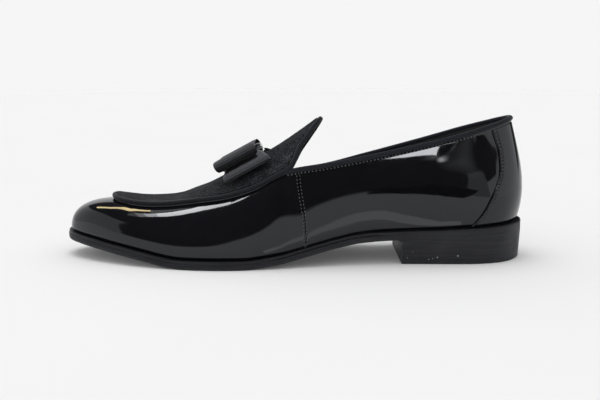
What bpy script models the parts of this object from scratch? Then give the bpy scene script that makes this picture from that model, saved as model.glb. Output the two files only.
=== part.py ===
"""Evening loafer for the left foot: patent upper, bound matt apron with a tall tongue, ribbon bow.

The toe points along -X, the lateral side faces -Y and the sole stands on z = 0.
Sizes are in millimetres here and become metres where the meshes are made.
"""

from collections import namedtuple
import math

import bpy
import numpy as np

MM = 0.001

# Driving sizes
LENGTH = 304.5            # divided by the tables; the sole itself comes out 3 mm shorter
BALL_WIDTH = 100.0        # width of the sole across the ball
INSTEP_HEIGHT = 80.0      # floor to the crown of the instep at half length
BACK_HEIGHT = 92.5        # floor to the top of the collar at the back
HEEL_HEIGHT = 19.4        # heel block at the back
TOE_SPRING = 11.3         # underside of the sole above the floor at the toe
TOE_LEAN = 6.0            # how far the toe leans to the medial side

# Walls and clearances
GAP = 0.3
RIM_GAP = 0.5             # under the bindings
WALL = 1.8
SOLE_EDGE = 5.7
INSOLE_THICKNESS = 2.2
INSOLE_CLEARANCE = 0.7
APRON_THICKNESS = 2.4
BINDING_RADIUS = 1.65
COLLAR_OVERRUN = 0.06     # how far the collar's binding starts ahead of the throat, in stations

# Heel block
HEEL_BREAST = 72.5        # per cent of the length
HEEL_LIP_REACH = 2.6      # the breast runs out under the sole in a small chamfer
HEEL_LIP_DROP = 1.6

# The axis of the last starts to lean here, in per cent of the length
LEAN_START = 33.8
LEAN_POWER = 1.5

# Sections round the shoe, from the toe back. Lengths are per cent of LENGTH from the toe,
# widths per cent of BALL_WIDTH from the axis, heights per cent of BACK_HEIGHT.
# The foot line is where the wall meets the sole, and the top line is the middle of the binding,
# which lies lower on the medial side by the fall.
Station = namedtuple("Station", "name foot lateral medial top half height fall")
STATIONS = (
    Station("toe", 0.9, 0.0, 0.0, 10.8, 0.0, 42.8, 0.3),
    Station("toe_round", 1.8, 10.0, 10.5, 11.2, 6.6, 42.8, 0.6),
    Station("toe_corner", 4.0, 17.0, 18.0, 12.1, 11.8, 42.3, 1.3),
    Station("toe_box", 7.5, 24.0, 25.5, 13.7, 15.8, 41.6, 2.0),
    Station("toe_back", 12.0, 31.0, 33.5, 16.2, 18.7, 40.6, 2.3),
    Station("vamp_front", 17.5, 37.8, 40.5, 19.8, 20.9, 40.2, 2.3),
    Station("vamp", 23.6, 43.2, 45.5, 24.4, 22.7, 41.2, 2.3),
    Station("medial_ball", 30.0, 46.8, 47.6, 30.0, 24.4, 43.7, 2.4),
    Station("lateral_ball", 36.0, 47.6, 45.6, 35.8, 26.9, 46.8, 3.0),
    Station("bow", 42.4, 45.5, 41.4, 41.7, 29.8, 53.3, 4.7),
    Station("instep", 47.6, 42.4, 37.2, 46.8, 32.6, 62.5, 7.6),
    Station("throat", 52.2, 39.5, 34.0, 50.7, 33.4, 65.8, 9.9),
    Station("waist_front", 58.8, 35.0, 30.0, 58.1, 31.3, 69.4, 8.6),
    Station("waist_back", 66.0, 31.6, 28.0, 65.4, 29.4, 73.9, 6.4),
    Station("breast", 73.9, 30.3, 28.6, 73.2, 27.9, 79.2, 4.6),
    Station("quarter", 81.8, 30.2, 29.6, 80.5, 26.8, 84.6, 3.2),
    Station("heel_side", 88.6, 28.8, 28.7, 86.6, 24.0, 89.8, 2.2),
    Station("heel_turn", 93.7, 23.0, 23.0, 91.4, 17.2, 93.8, 1.2),
    Station("heel_round", 96.8, 12.5, 12.5, 95.1, 9.0, 97.2, 0.5),
    Station("back", 98.0, 0.0, 0.0, 96.3, 0.0, 98.3, 0.0),
)
TOE_TO_BACK = len(STATIONS) - 1
THROAT = [station.name for station in STATIONS].index("throat")

# How the wall swells between the two lines: it leaves the sole by (flare out, rise up)
# and arrives at the top line from (reach out, drop down). The sole shows the ledge outside it.
Form = namedtuple("Form", "along flare rise reach drop ledge")
WALL_FORM = (
    Form(0.9, 0.3, 13.0, 20.0, 0.5, 1.7),
    Form(12.0, 1.1, 13.2, 13.7, 2.4, 2.2),
    Form(25.0, 1.8, 17.4, 14.1, 3.1, 2.2),
    Form(36.0, 1.7, 22.1, 16.0, 10.7, 2.2),
    Form(47.0, 1.2, 26.4, 11.1, 11.6, 1.9),
    Form(52.5, 0.9, 25.6, 5.5, 14.9, 1.7),
    Form(66.0, 2.7, 17.0, 7.0, 18.0, 1.7),
    Form(80.0, 5.0, 12.3, 8.3, 18.6, 2.4),
    Form(90.0, 5.5, 22.0, 4.6, 23.0, 3.4),
    Form(98.0, 7.0, 22.0, 6.0, 24.0, 4.0),
)

# Underside of the sole: spring is per cent of TOE_SPRING, lift per cent of HEEL_HEIGHT
Rise = namedtuple("Rise", "along spring lift")
UNDERSIDE = (
    Rise(0.0, 100.0, 0.0),
    Rise(6.9, 78.0, 0.0),
    Rise(12.5, 57.0, 0.0),
    Rise(19.0, 30.5, 0.0),
    Rise(23.3, 9.5, 0.0),
    Rise(26.9, 0.0, 0.0),
    Rise(40.0, 0.0, 0.0),
    Rise(43.0, 0.0, 4.6),
    Rise(47.3, 0.0, 14.0),
    Rise(52.0, 0.0, 32.0),
    Rise(58.8, 0.0, 57.7),
    Rise(63.7, 0.0, 72.0),
    Rise(70.0, 0.0, 79.0),
    Rise(79.8, 0.0, 83.5),
    Rise(89.7, 0.0, 92.0),
    Rise(100.0, 0.0, 100.0),
)

# Profile of the sole's edge: share of its height, and how far it is cut in
EdgeStep = namedtuple("EdgeStep", "share inset")
SOLE_STEPS = (
    EdgeStep(0.0, 0.9),
    EdgeStep(0.12, 0.0),
    EdgeStep(0.62, 0.0),
    EdgeStep(0.68, 0.4),
    EdgeStep(0.90, 0.4),
    EdgeStep(1.0, 0.9),
)

# Profile of the heel block from the floor up: height, and how far it is cut in
HeelStep = namedtuple("HeelStep", "height inset")
HEEL_STEPS = (
    HeelStep(0.0, 1.8),
    HeelStep(0.8, 1.2),
)
HEEL_TOP_INSET = 0.3

# Edge of the tongue behind the throat, as the top line is given
TongueEdge = namedtuple("TongueEdge", "top half height fall")
TONGUE = (
    TongueEdge(48.9, 33.4, 66.4, 9.2),
    TongueEdge(50.1, 30.2, 72.4, 8.4),
    TongueEdge(51.2, 24.0, 80.5, 8.5),
    TongueEdge(52.7, 17.0, 86.8, 6.5),
    TongueEdge(54.2, 10.0, 93.0, 4.6),
    TongueEdge(55.2, 4.5, 96.5, 2.2),
    TongueEdge(55.6, 0.0, 97.3, 0.0),
)

# Crown of the apron and the tongue along the axis, in per cent of INSTEP_HEIGHT
Crown = namedtuple("Crown", "along height")
CROWN = (
    Crown(10.8, 49.4),
    Crown(14.1, 48.6),
    Crown(18.1, 47.0),
    Crown(22.0, 47.3),
    Crown(25.1, 49.2),
    Crown(29.0, 54.8),
    Crown(31.7, 58.7),
    Crown(38.8, 73.3),
    Crown(46.0, 88.4),
    Crown(51.2, 101.6),
    Crown(53.8, 108.8),
    Crown(55.1, 112.2),
    Crown(55.6, 112.5),
)

APRON_ROWS = STATIONS[:THROAT] + TONGUE
APRON_TO_TIP = len(APRON_ROWS) - 1
TIP_HALF = 0.01           # least half width in the arch, where the two edges meet

# Front edge of the counter on the wall: share of the height, and place between the stations
CounterEdge = namedtuple("CounterEdge", "share station")
COUNTER_EDGE = (
    CounterEdge(0.0, 15.68),
    CounterEdge(0.16, 16.12),
    CounterEdge(0.28, 16.36),
    CounterEdge(0.41, 16.64),
    CounterEdge(0.56, 16.94),
    CounterEdge(0.68, 17.06),
    CounterEdge(0.80, 17.11),
    CounterEdge(1.0, 16.97),
)
COUNTER_THICKNESS = 0.9
COUNTER_BOTTOM = 0.015    # starts just above the sole
COUNTER_TOP = 0.99        # stops just under the collar's binding

# Ribbon bow on the instep. A loop is half_span to each side and half_width each way along the
# slope, slipped along it; it is thin in the middle, round at its ends, and bends up or down to them.
# The band gathers its middle to a narrower width.
RIBBON = 0.8
BOW_PLACE = 39.4
BOW_LEAN = 3.0            # degrees down to the medial side, with the apron's edges
BowLoop = namedtuple("BowLoop", "name half_span half_width slip middle round lift bend")
BOW_LOOPS = (
    BowLoop("bow_lower_loop", 25.0, 16.6, 1.6, 1.6, 1.8, 2.9, -6.8),
    BowLoop("bow_upper_loop", 23.0, 14.9, -1.7, 1.6, 3.5, 5.6, 1.25),
)
LOOP_PINCH = 0.3          # share of the span that the band holds flat
LOOP_SWELL = 1.5
LOOP_GATHER = 0.35        # share of the width that is lost under the band
BAND_HALF_WIDTH = 6.0
BAND_HALF_LENGTH = 14.6
BAND_SLIP = 0.1
BAND_BOTTOM = 1.0
BAND_TOP = 7.5
BAND_FLATNESS = 0.25

# Fineness of the meshes
RIBS_PER_STATION = 2
WALL_RINGS = 10
APRON_COLUMNS = 13
COUNTER_COLUMNS = 19
BAND_SEGMENTS = 36
LOOP_STEPS = 9
ROUND_STEPS = 4
EDGE_SAMPLES = 600
INSET_ROUNDS = 5          # how often the apron's inset from its binding is corrected


def along(per_cent):
    """Distance from the middle of the shoe for a place along its length."""
    return (np.asarray(per_cent, float) / 100.0 - 0.5) * LENGTH


def width(per_cent):
    return np.asarray(per_cent, float) / 100.0 * BALL_WIDTH


def smooth_table(places, values, wanted):
    """Monotone cubic through the rows of a table, so that a level stretch stays level."""
    places = np.asarray(places, float)
    values = np.asarray(values, float)
    wanted = np.clip(np.asarray(wanted, float), places[0], places[-1])
    steps = np.diff(places)
    slopes = np.diff(values) / steps
    tangents = np.zeros(len(places))
    tangents[0] = slopes[0]
    tangents[-1] = slopes[-1]
    for row in range(1, len(places) - 1):
        before, after = slopes[row - 1], slopes[row]
        if before * after > 0.0:
            tangents[row] = 2.0 * before * after / (before + after)
    row = np.clip(np.searchsorted(places, wanted) - 1, 0, len(steps) - 1)
    u = (wanted - places[row]) / steps[row]
    start = values[row] * (1 + 2 * u) * (1 - u) ** 2 + tangents[row] * steps[row] * u * (1 - u) ** 2
    end = values[row + 1] * u ** 2 * (3 - 2 * u) - tangents[row + 1] * steps[row] * u ** 2 * (1 - u)
    return start + end


def closed_curve(rows, places):
    """Catmull-Rom curve through rows that close on themselves, read at fractional row numbers."""
    rows = np.asarray(rows, float)
    places = np.asarray(places, float)
    row = np.floor(places).astype(int)
    u = (places - row)[:, None]
    before, here, after, beyond = (rows[(row + k) % len(rows)] for k in (-1, 0, 1, 2))
    return 0.5 * (2 * here + (after - before) * u
                  + (2 * before - 5 * here + 4 * after - beyond) * u ** 2
                  + (3 * here - before - 3 * after + beyond) * u ** 3)


def axis_y(x):
    """Sideways place of the last's axis: straight at the heel, leaning medially to the toe."""
    start = along(LEAN_START)
    share = np.clip((start - np.asarray(x, float)) / (start - along(0.0)), 0.0, None)
    return TOE_LEAN * share ** LEAN_POWER


def underside(x):
    """Height of the sole's underside."""
    places = along([row.along for row in UNDERSIDE])
    heights = [row.spring / 100 * TOE_SPRING + row.lift / 100 * HEEL_HEIGHT for row in UNDERSIDE]
    return smooth_table(places, heights, x)


def wall_form(x, column):
    places = along([row.along for row in WALL_FORM])
    return smooth_table(places, [getattr(row, column) for row in WALL_FORM], x)


def both_sides(rows):
    """Rows down the lateral side and back up the medial side, as (row, side) pairs."""
    down = [(row, -1.0) for row in rows]
    back = [(row, 1.0) for row in rows[-2:0:-1]]
    return down + back


def foot_rows():
    points = []
    for row, side in both_sides(STATIONS):
        x = along(row.foot)
        half = row.lateral if side < 0 else row.medial
        points.append((x, axis_y(x) + side * width(half)))
    return points


def edge_rows(rows):
    points = []
    for row, side in both_sides(rows):
        x = along(row.top)
        y = axis_y(x) + side * width(row.half)
        height = row.height - (row.fall if side > 0 else 0.0)
        points.append((x, y, height / 100 * BACK_HEIGHT))
    return points


def outward(rows, places):
    """Unit vectors square to a closed curve in plan, pointing away from its inside."""
    step = 0.01
    run = closed_curve(rows, places + step) - closed_curve(rows, places - step)
    normal = np.column_stack((run[:, 1], -run[:, 0], np.zeros(len(run))))
    return normal / np.linalg.norm(normal, axis=1)[:, None]


def foot_line(places, inset=0.0):
    """Points on the line where the wall meets the sole, moved inwards by inset."""
    flat = closed_curve(foot_rows(), places)
    points = np.column_stack((flat, np.zeros(len(flat))))
    return points - outward(foot_rows(), places) * np.reshape(inset, (-1, 1))


def sole_line(places, inset):
    """Points on the sole's outline, which stands out by the ledge, moved inwards by inset."""
    ledge = wall_form(foot_line(places)[:, 0], "ledge")
    return foot_line(places, inset - ledge)


def wall_points(places, share):
    """Outer face of the upper: share runs from 0 at the sole to 1 at the rim."""
    foot = foot_line(places)
    x = foot[:, 0]
    foot[:, 2] = underside(x) + SOLE_EDGE + GAP
    top = closed_curve(edge_rows(STATIONS), places)
    top[:, 2] -= BINDING_RADIUS + RIM_GAP
    up = np.array((0.0, 0.0, 1.0))
    flare, rise, reach, drop = (wall_form(x, name)[:, None] for name in ("flare", "rise", "reach", "drop"))
    leave = foot + outward(foot_rows(), places) * flare + up * rise
    arrive = top + outward(edge_rows(STATIONS), places) * reach - up * drop
    t = np.reshape(share, (-1, 1))
    return (foot * (1 - t) ** 3 + leave * 3 * t * (1 - t) ** 2
            + arrive * 3 * t ** 2 * (1 - t) + top * t ** 3)


def wall_normals(places, share):
    """Unit vectors square to the upper's outer face, pointing out."""
    step = 0.01
    low, high = max(share - step, 0.0), min(share + step, 1.0)
    around = wall_points(places + step, share) - wall_points(places - step, share)
    upward = wall_points(places, high) - wall_points(places, low)
    normal = np.cross(around, upward)
    return normal / np.linalg.norm(normal, axis=1)[:, None]


def ring_places():
    """Places of the ribs round the shoe, from the toe down the lateral side and back."""
    return np.arange(2 * TOE_TO_BACK * RIBS_PER_STATION) / RIBS_PER_STATION


def apron_sides():
    """The lateral and the medial edge of the apron, from its front to the tip of the tongue."""
    rows = edge_rows(APRON_ROWS)
    places = np.linspace(0.0, APRON_TO_TIP, EDGE_SAMPLES)
    return closed_curve(rows, places), closed_curve(rows, 2 * APRON_TO_TIP - places)


def crown_height(x):
    places = along([row.along for row in CROWN])
    return smooth_table(places, [row.height / 100 * INSTEP_HEIGHT for row in CROWN], x)


def apron_height(x, y):
    """Middle surface of the apron and the tongue: an arch across, from edge to edge."""
    lateral, medial = apron_sides()
    low = np.where(y < axis_y(x), np.interp(x, lateral[:, 0], lateral[:, 2]),
                   np.interp(x, medial[:, 0], medial[:, 2]))
    half = np.maximum(np.interp(x, lateral[:, 0], axis_y(lateral[:, 0]) - lateral[:, 1]), TIP_HALF)
    share = np.clip(np.abs(y - axis_y(x)) / half, 0.0, 1.0)
    return low + (crown_height(x) - low) * (1.0 - share ** 2)


def new_collection(name):
    collection = bpy.data.collections.new(name)
    bpy.context.scene.collection.children.link(collection)
    return collection


def principled(name, colour, roughness, coat=0.0):
    material = bpy.data.materials.new(name)
    material.use_nodes = True
    shader = material.node_tree.nodes["Principled BSDF"]
    shader.inputs["Base Color"].default_value = (*colour, 1.0)
    shader.inputs["Roughness"].default_value = roughness
    shader.inputs["Metallic"].default_value = 0.0
    shader.inputs["Coat Weight"].default_value = coat
    return material


def finish_object(name, data, material, collection, parent):
    piece = bpy.data.objects.new(name, data)
    data.materials.append(material)
    collection.objects.link(piece)
    piece.parent = parent
    return piece


def mesh_from(name, points, faces, sharp_degrees=40.0):
    mesh = bpy.data.meshes.new(name)
    mesh.from_pydata([tuple(point * MM) for point in np.asarray(points)], [], faces)
    mesh.update()
    mesh.shade_smooth()
    mesh.set_sharp_from_angle(angle=math.radians(sharp_degrees))
    return mesh


def ring_faces(rings, count, closed=True):
    """Quads between successive rings of count points each."""
    faces = []
    for ring in range(rings - 1):
        for i in range(count if closed else count - 1):
            j = (i + 1) % count
            low, high = ring * count, (ring + 1) * count
            faces.append((low + i, low + j, high + j, high + i))
    return faces


def strip_cap(start, count, first_is_tip):
    """Faces across an outline whose two sides run out from its first point, or from its first edge."""
    faces = []
    left, right = (1, count - 1) if first_is_tip else (0, count - 1)
    if first_is_tip:
        faces.append((0, 1, count - 1))
    while right - left > 2:
        faces.append((left, left + 1, right - 1, right))
        left, right = left + 1, right - 1
    if right - left == 2:
        faces.append((left, left + 1, right))
    return [tuple(start + i for i in face) for face in faces]


def closed_loft(name, rings, first_is_tip=True):
    """Solid through rings of equal count, capped across at both ends."""
    count = len(rings[0])
    faces = ring_faces(len(rings), count)
    faces += [face[::-1] for face in strip_cap(0, count, first_is_tip)]
    faces += strip_cap((len(rings) - 1) * count, count, first_is_tip)
    return mesh_from(name, np.vstack(rings), faces)


def add_solidify(piece, thickness, offset):
    solidify = piece.modifiers.new("wall", "SOLIDIFY")
    solidify.thickness = thickness * MM
    solidify.offset = offset
    solidify.use_even_offset = True
    return solidify


def make_outsole(collection, parent):
    """Sole with toe spring, waist and heel seat, and a step between its two layers."""
    places = ring_places()
    rings = []
    for step in SOLE_STEPS:
        ring = sole_line(places, step.inset)
        ring[:, 2] = underside(ring[:, 0]) + step.share * SOLE_EDGE
        rings.append(ring)
    material = principled("sole_leather", (0.018, 0.018, 0.019), 0.55)
    return finish_object("outsole", closed_loft("outsole", rings), material, collection, parent)


def heel_outline(breast, inset):
    """Outline of the heel from the lateral corner of the breast round the back to the medial one."""
    places = ring_places()
    loop = sole_line(places, inset)
    behind = [i for i in range(len(loop)) if loop[i, 0] > breast + 1.0]
    corners = []
    for inner, outer in ((behind[0], behind[0] - 1), (behind[-1], behind[-1] + 1)):
        share = (breast - loop[outer, 0]) / (loop[inner, 0] - loop[outer, 0])
        corners.append(loop[outer] + share * (loop[inner] - loop[outer]))
    return np.vstack((corners[0], loop[behind], corners[1]))


def make_heel(collection, parent):
    """Stacked block under the heel seat, square across at the breast."""
    breast = along(HEEL_BREAST)
    rings = []
    for step in HEEL_STEPS:
        ring = heel_outline(breast, step.inset)
        ring[:, 2] = step.height
        rings.append(ring)
    for reach, below in ((0.0, HEEL_LIP_DROP), (HEEL_LIP_REACH, 0.0)):
        ring = heel_outline(breast, HEEL_TOP_INSET)
        ring[[0, -1], 0] -= reach
        ring[:, 2] = underside(ring[:, 0]) - GAP - below
        rings.append(ring)
    material = principled("heel_stack", (0.016, 0.016, 0.017), 0.5)
    return finish_object("heel", closed_loft("heel", rings, False), material, collection, parent)


def make_insole(collection, parent):
    """Board that lies on the sole inside the upper."""
    places = ring_places()
    ring = foot_line(places, WALL + INSOLE_CLEARANCE)
    rings = []
    for height in (GAP, INSOLE_THICKNESS):
        level = ring.copy()
        level[:, 2] = underside(ring[:, 0]) + SOLE_EDGE + height
        rings.append(level)
    material = principled("insole_leather", (0.02, 0.019, 0.018), 0.6)
    return finish_object("insole", closed_loft("insole", rings), material, collection, parent)


def make_upper(collection, parent):
    """Vamp and quarters as one hollow wall, open above and underneath."""
    places = ring_places()
    rings = [wall_points(places, share) for share in np.linspace(0.0, 1.0, WALL_RINGS)]
    mesh = mesh_from("upper", np.vstack(rings), ring_faces(WALL_RINGS, len(places)))
    material = principled("patent_leather", (0.006, 0.006, 0.007), 0.12, 1.0)
    piece = finish_object("upper", mesh, material, collection, parent)
    add_solidify(piece, WALL, -1.0)
    return piece


def make_apron_tongue(collection, parent):
    """Plug over the instep that runs on into the pointed tongue, inside its binding."""
    rows = edge_rows(APRON_ROWS)
    places = np.arange(2 * APRON_TO_TIP * RIBS_PER_STATION) / RIBS_PER_STATION
    edge = closed_curve(rows, places)
    fine_edge = np.vstack(apron_sides())
    inset = np.full(len(places), BINDING_RADIUS + GAP)
    for attempt in range(INSET_ROUNDS):
        inner = edge - outward(rows, places) * inset[:, None]
        inner[:, 2] = apron_height(inner[:, 0], inner[:, 1])
        reach = np.linalg.norm(inner[:, None] - fine_edge[None], axis=2).min(axis=1)
        inset *= (BINDING_RADIUS + GAP) / reach
    tip = len(places) // 2
    across = np.linspace(0.0, 1.0, APRON_COLUMNS)[:, None]
    sheet = [inner[i] + (inner[-i] - inner[i]) * across for i in range(1, tip)]
    points = np.vstack(sheet + [inner[:1], inner[tip:tip + 1]])
    points[:, 2] = apron_height(points[:, 0], points[:, 1])
    faces = [face[::-1] for face in ring_faces(len(sheet), APRON_COLUMNS, closed=False)]
    front, back = len(points) - 2, len(points) - 1
    last_row = (len(sheet) - 1) * APRON_COLUMNS
    for i in range(APRON_COLUMNS - 1):
        faces.append((front, i, i + 1))
        faces.append((back, last_row + i + 1, last_row + i))
    mesh = mesh_from("apron_tongue", points, faces)
    material = principled("matt_suede", (0.012, 0.012, 0.013), 0.95)
    piece = finish_object("apron_tongue", mesh, material, collection, parent)
    add_solidify(piece, APRON_THICKNESS, 0.0)
    return piece


def make_binding(name, points, cyclic, material, collection, parent):
    """Ribbon rolled over an edge, as a bead along the edge's middle line."""
    curve = bpy.data.curves.new(name, "CURVE")
    curve.dimensions = "3D"
    curve.bevel_depth = BINDING_RADIUS * MM
    curve.bevel_resolution = 2
    curve.use_fill_caps = True
    spline = curve.splines.new("POLY")
    spline.points.add(len(points) - 1)
    for control, point in zip(spline.points, points * MM):
        control.co = (*point, 1.0)
    spline.use_cyclic_u = cyclic
    return finish_object(name, curve, material, collection, parent)


def make_bindings(collection, parent):
    material = principled("binding_ribbon", (0.02, 0.02, 0.022), 0.7)
    places = np.arange(2 * APRON_TO_TIP * RIBS_PER_STATION) / RIBS_PER_STATION
    edge = closed_curve(edge_rows(APRON_ROWS), places)
    make_binding("apron_binding", edge, True, material, collection, parent)
    count = 2 * (TOE_TO_BACK - THROAT) * RIBS_PER_STATION + 1
    start = THROAT - COLLAR_OVERRUN
    places = np.linspace(start, 2 * TOE_TO_BACK - start, count)
    collar = closed_curve(edge_rows(STATIONS), places)
    make_binding("collar_binding", collar, False, material, collection, parent)


def make_counter(collection, parent):
    """Overlay round the back of the quarters, cut from the upper's own surface."""
    shares = np.linspace(COUNTER_BOTTOM, COUNTER_TOP, WALL_RINGS)
    edge_shares = [row.share for row in COUNTER_EDGE]
    edge_stations = [row.station for row in COUNTER_EDGE]
    rings = []
    for share in shares:
        front = smooth_table(edge_shares, edge_stations, share)
        places = np.linspace(front, 2 * TOE_TO_BACK - front, COUNTER_COLUMNS)
        rings.append(wall_points(places, share) + wall_normals(places, share) * GAP)
    faces = ring_faces(len(rings), COUNTER_COLUMNS, closed=False)
    mesh = mesh_from("heel_counter", np.vstack(rings), faces)
    material = principled("counter_patent", (0.006, 0.006, 0.007), 0.12, 1.0)
    piece = finish_object("heel_counter", mesh, material, collection, parent)
    add_solidify(piece, COUNTER_THICKNESS, 1.0)
    return piece


def power(value, exponent):
    """Power that keeps the sign, for the corners of a rounded loop."""
    return np.sign(value) * np.abs(value) ** exponent


def ribbon_tube(name, ring, half_widths, axis):
    """Ribbon bent to a closed ring, reaching its half width each way along the axis."""
    rings = []
    for side in (-1.0, 1.0):
        level = ring.copy()
        level[:, axis] += side * half_widths
        rings.append(level)
    return mesh_from(name, np.vstack(rings), ring_faces(2, len(ring)))


def bow_seat():
    """Place and tilt of the bow: on the crown of the apron, along its slope."""
    x = float(along(BOW_PLACE))
    step = 1.0
    tilt = math.atan2(float(crown_height(x + step) - crown_height(x - step)), 2 * step)
    seat = float(crown_height(x)) + APRON_THICKNESS / 2 / math.cos(tilt)
    return (x * MM, float(axis_y(x)) * MM, seat * MM), (-math.radians(BOW_LEAN), -tilt, 0.0)


def loop_ring(loop):
    """Middle line of a ribbon loop and its half widths: flat in the middle, round at both ends."""
    straight = loop.half_span - loop.round
    held = LOOP_PINCH * loop.half_span
    turn = np.linspace(0.0, math.pi / 2, ROUND_STEPS + 1)
    steps = np.linspace(0.0, straight, LOOP_STEPS, endpoint=False)
    ease = np.clip((steps - held) / (straight - held), 0.0, 1.0)
    opening = loop.middle / 2 + (loop.round - loop.middle / 2) * ease ** 2 * (3 - 2 * ease)
    half = np.concatenate((opening, loop.round * np.cos(turn)))
    out = np.concatenate((steps, straight + loop.round * np.sin(turn)))
    end = len(out) - 1
    order = np.concatenate((np.arange(end + 1), np.arange(end)[::-1],
                            np.arange(1, end + 1), np.arange(1, end)[::-1]))
    above = np.repeat((1.0, -1.0, 1.0), (end + 1, 2 * end, end - 1))
    side = np.repeat((1.0, -1.0), (2 * end + 1, 2 * end - 1))
    free = np.clip((out / loop.half_span - LOOP_PINCH) / (1.0 - LOOP_PINCH), 0.0, 1.0)
    rise = loop.lift + loop.bend * free ** LOOP_SWELL
    ring = np.column_stack((np.full(len(order), loop.slip), side * out[order],
                            rise[order] + above * half[order]))
    return ring, (loop.half_width * (1.0 - LOOP_GATHER * (1.0 - free)))[order]


def make_bow(collection, parent):
    """Two stacked ribbon loops and the band round their middle."""
    material = principled("bow_ribbon", (0.03, 0.03, 0.033), 0.6)
    place, tilt = bow_seat()
    meshes = []
    for loop in BOW_LOOPS:
        ring, half_widths = loop_ring(loop)
        meshes.append(ribbon_tube(loop.name, ring, half_widths, 0))
    turn = np.linspace(0.0, 2 * math.pi, BAND_SEGMENTS, endpoint=False)
    length = power(np.cos(turn), BAND_FLATNESS) * BAND_HALF_LENGTH + BAND_SLIP
    middle, half = (BAND_TOP + BAND_BOTTOM) / 2, (BAND_TOP - BAND_BOTTOM) / 2
    rise = middle + half * power(np.sin(turn), BAND_FLATNESS)
    ring = np.column_stack((length, np.zeros(BAND_SEGMENTS), rise))
    meshes.append(ribbon_tube("bow_band", ring, BAND_HALF_WIDTH, 1))
    for mesh in meshes:
        piece = finish_object(mesh.name, mesh, material, collection, parent)
        piece.location = place
        piece.rotation_euler = tilt
        add_solidify(piece, RIBBON, 0.0)


def main():
    for existing in list(bpy.data.objects):
        bpy.data.objects.remove(existing, do_unlink=True)
    collection = new_collection("evening_loafer")
    root = bpy.data.objects.new("evening_loafer_root", None)
    collection.objects.link(root)
    make_outsole(collection, root)
    make_heel(collection, root)
    make_insole(collection, root)
    make_upper(collection, root)
    make_apron_tongue(collection, root)
    make_bindings(collection, root)
    make_counter(collection, root)
    make_bow(collection, root)


main()
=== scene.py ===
"""Looks of the evening loafer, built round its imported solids.

The toe points along -X, the lateral side faces -Y and the sole stands on z = 0.
Sizes are in millimetres here and become metres where the meshes are made.
"""

from collections import namedtuple
import math

import bmesh
import bpy
from mathutils import Euler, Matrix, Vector
import numpy as np


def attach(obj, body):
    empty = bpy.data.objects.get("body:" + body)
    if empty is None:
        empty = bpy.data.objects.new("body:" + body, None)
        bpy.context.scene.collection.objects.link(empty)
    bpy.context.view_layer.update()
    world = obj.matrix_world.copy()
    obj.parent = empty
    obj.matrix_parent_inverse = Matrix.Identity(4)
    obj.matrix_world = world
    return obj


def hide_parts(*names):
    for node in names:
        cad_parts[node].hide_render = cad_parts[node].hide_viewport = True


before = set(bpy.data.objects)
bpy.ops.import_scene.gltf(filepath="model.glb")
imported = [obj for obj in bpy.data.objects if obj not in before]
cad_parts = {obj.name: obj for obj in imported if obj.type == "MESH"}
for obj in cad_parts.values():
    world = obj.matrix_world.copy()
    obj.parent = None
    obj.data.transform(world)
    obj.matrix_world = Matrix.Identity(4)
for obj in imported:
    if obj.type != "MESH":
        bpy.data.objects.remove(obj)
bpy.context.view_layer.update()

MM = 0.001
BODY = "root"


def table(columns, *rows):
    """Rows of a table with named columns."""
    row = namedtuple("Row", columns)
    return [row(*values) for values in rows]


# Sizes of the solids
LENGTH = 304.5
BALL_WIDTH = 100.0
INSTEP_HEIGHT = 80.0
BACK_HEIGHT = 92.5
HEEL_HEIGHT = 19.4
TOE_SPRING = 11.3
TOE_LEAN = 6.0
GAP = 0.3
RIM_GAP = 0.5
WALL = 1.8
SOLE_EDGE = 5.7
INSOLE_THICKNESS = 2.2
INSOLE_CLEARANCE = 0.7
APRON_THICKNESS = 2.4
BINDING_RADIUS = 1.65
HEEL_BREAST = 72.5
HEEL_LIP_REACH = 2.6
HEEL_LIP_DROP = 1.6
LEAN_START = 33.8
LEAN_POWER = 1.5

# Sections round the shoe, in per cent of the length, the ball's width and the back's height
STATIONS = table(
    "name foot lateral medial top half height fall",
    ("toe", 0.9, 0.0, 0.0, 10.8, 0.0, 42.8, 0.3),
    ("toe_round", 1.8, 10.0, 10.5, 11.2, 6.6, 42.8, 0.6),
    ("toe_corner", 4.0, 17.0, 18.0, 12.1, 11.8, 42.3, 1.3),
    ("toe_box", 7.5, 24.0, 25.5, 13.7, 15.8, 41.6, 2.0),
    ("toe_back", 12.0, 31.0, 33.5, 16.2, 18.7, 40.6, 2.3),
    ("vamp_front", 17.5, 37.8, 40.5, 19.8, 20.9, 40.2, 2.3),
    ("vamp", 23.6, 43.2, 45.5, 24.4, 22.7, 41.2, 2.3),
    ("medial_ball", 30.0, 46.8, 47.6, 30.0, 24.4, 43.7, 2.4),
    ("lateral_ball", 36.0, 47.6, 45.6, 35.8, 26.9, 46.8, 3.0),
    ("bow", 42.4, 45.5, 41.4, 41.7, 29.8, 53.3, 4.7),
    ("instep", 47.6, 42.4, 37.2, 46.8, 32.6, 62.5, 7.6),
    ("throat", 52.2, 39.5, 34.0, 50.7, 33.4, 65.8, 9.9),
    ("waist_front", 58.8, 35.0, 30.0, 58.1, 31.3, 69.4, 8.6),
    ("waist_back", 66.0, 31.6, 28.0, 65.4, 29.4, 73.9, 6.4),
    ("breast", 73.9, 30.3, 28.6, 73.2, 27.9, 79.2, 4.6),
    ("quarter", 81.8, 30.2, 29.6, 80.5, 26.8, 84.6, 3.2),
    ("heel_side", 88.6, 28.8, 28.7, 86.6, 24.0, 89.8, 2.2),
    ("heel_turn", 93.7, 23.0, 23.0, 91.4, 17.2, 93.8, 1.2),
    ("heel_round", 96.8, 12.5, 12.5, 95.1, 9.0, 97.2, 0.5),
    ("back", 98.0, 0.0, 0.0, 96.3, 0.0, 98.3, 0.0),
)
TOE_TO_BACK = len(STATIONS) - 1
AROUND = 2 * TOE_TO_BACK
THROAT = [station.name for station in STATIONS].index("throat")

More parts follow.
